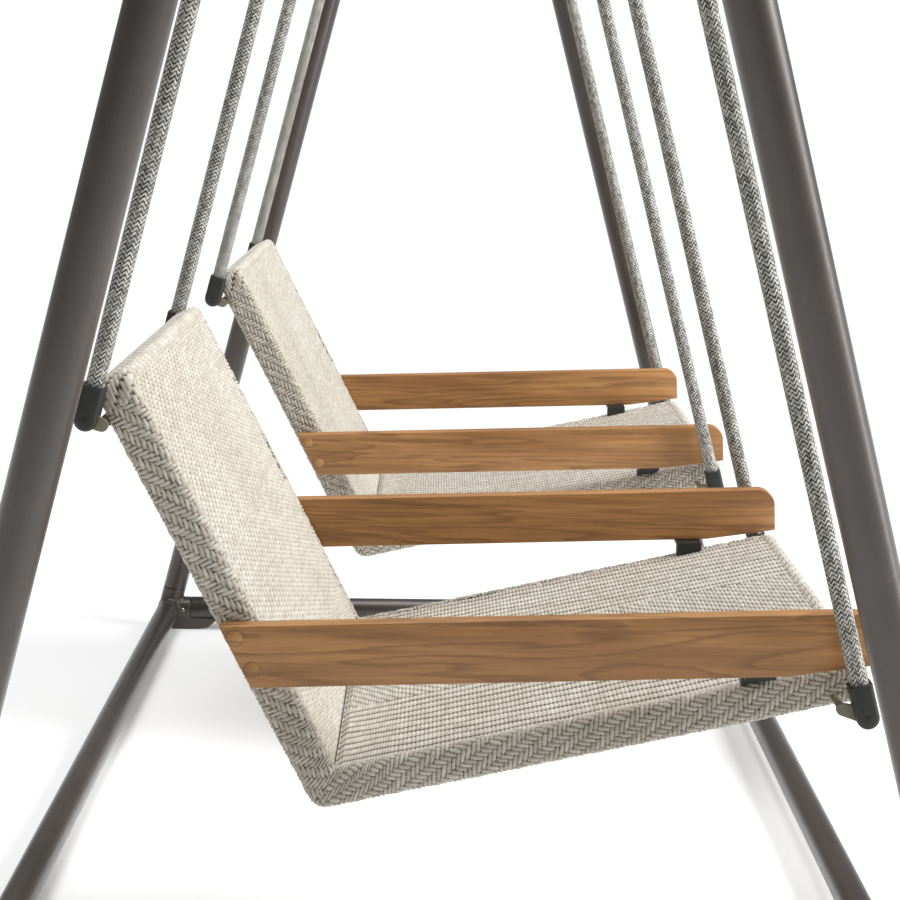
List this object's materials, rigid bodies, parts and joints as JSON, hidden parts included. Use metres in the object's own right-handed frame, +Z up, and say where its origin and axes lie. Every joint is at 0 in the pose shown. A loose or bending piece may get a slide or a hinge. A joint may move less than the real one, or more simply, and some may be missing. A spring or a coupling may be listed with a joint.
{
  "type": "porch swing",
  "caption": "Garden swing with woven lounge seats and timber armrests, each hung on braided ropes from a tubular A-frame stand.",
  "frame": {"origin": "on the floor, under the middle of the stand (centre of the bounding box's base)", "axes": "+Z up; +X along the top beam, towards the right-hand seat as seen by someone facing the swing; the seats face -Y"},
  "size_m": [2.348, 1.1606, 2.177],
  "materials": {
    "bronze_paint": "satin, lightly textured outdoor paint in dark bronze grey",
    "woven_cord": "flat taupe outdoor cord, woven in close rows with a herringbone band along the edges",
    "teak": "oiled teak, fine straight and cathedral grain, eased edges",
    "rope": "braided outdoor rope, black, grey and white flecked herringbone",
    "charcoal_fitting": "matt charcoal powder coat",
    "steel": "brushed stainless steel",
    "olive_paint": "satin olive-beige paint"
  },
  "bodies": {
    "frame": {"top_beam": "bronze_paint", "beam_cap_left": "charcoal_fitting", "beam_cap_right": "charcoal_fitting", "apex_joint_left": "bronze_paint", "apex_joint_right": "bronze_paint", "leg_left_front": "bronze_paint", "leg_left_back": "bronze_paint", "leg_right_front": "bronze_paint", "leg_right_back": "bronze_paint", "ground_rail_front": "bronze_paint", "ground_rail_back": "bronze_paint", "cross_bar_left": "bronze_paint", "cross_bar_right": "bronze_paint", "base_corner_left_front": "bronze_paint", "base_corner_left_back": "bronze_paint", "base_corner_right_front": "bronze_paint", "base_corner_right_back": "bronze_paint"},
    "left_seat": {"left_seat_back_shell": "woven_cord", "left_seat_bottom_shell": "woven_cord", "left_seat_inner_frame": "olive_paint", "left_seat_armrest_left": "teak", "left_seat_arm_bracket_left": "charcoal_fitting", "left_seat_hanger_left": "charcoal_fitting", "left_seat_armrest_right": "teak", "left_seat_arm_bracket_right": "charcoal_fitting", "left_seat_hanger_right": "charcoal_fitting", "left_seat_clevis_front_left": "charcoal_fitting", "left_seat_pin_front_left": "steel", "left_seat_rope_front_left": "rope", "left_seat_clevis_front_right": "charcoal_fitting", "left_seat_pin_front_right": "steel", "left_seat_rope_front_right": "rope", "left_seat_clevis_back_left": "charcoal_fitting", "left_seat_pin_back_left": "steel", "left_seat_rope_back_left": "rope", "left_seat_clevis_back_right": "charcoal_fitting", "left_seat_pin_back_right": "steel", "left_seat_rope_back_right": "rope"},
    "right_seat": {"right_seat_back_shell": "woven_cord", "right_seat_bottom_shell": "woven_cord", "right_seat_inner_frame": "olive_paint", "right_seat_armrest_left": "teak", "right_seat_arm_bracket_left": "charcoal_fitting", "right_seat_hanger_left": "charcoal_fitting", "right_seat_armrest_right": "teak", "right_seat_arm_bracket_right": "charcoal_fitting", "right_seat_hanger_right": "charcoal_fitting", "right_seat_clevis_front_left": "charcoal_fitting", "right_seat_pin_front_left": "steel", "right_seat_rope_front_left": "rope", "right_seat_clevis_front_right": "charcoal_fitting", "right_seat_pin_front_right": "steel", "right_seat_rope_front_right": "rope", "right_seat_clevis_back_left": "charcoal_fitting", "right_seat_pin_back_left": "steel", "right_seat_rope_back_left": "rope", "right_seat_clevis_back_right": "charcoal_fitting", "right_seat_pin_back_right": "steel", "right_seat_rope_back_right": "rope"}
  },
  "joints": [
    {"name": "left_seat_swing", "type": "hinge", "parent": "frame", "child": "left_seat", "pos_m": [-0.565, 0, 2.137], "axis": [1, 0, 0], "range_deg": [-22, 22]},
    {"name": "right_seat_swing", "type": "hinge", "parent": "frame", "child": "right_seat", "pos_m": [0.565, 0, 2.137], "axis": [1, 0, 0], "range_deg": [-22, 22]}
  ]
}
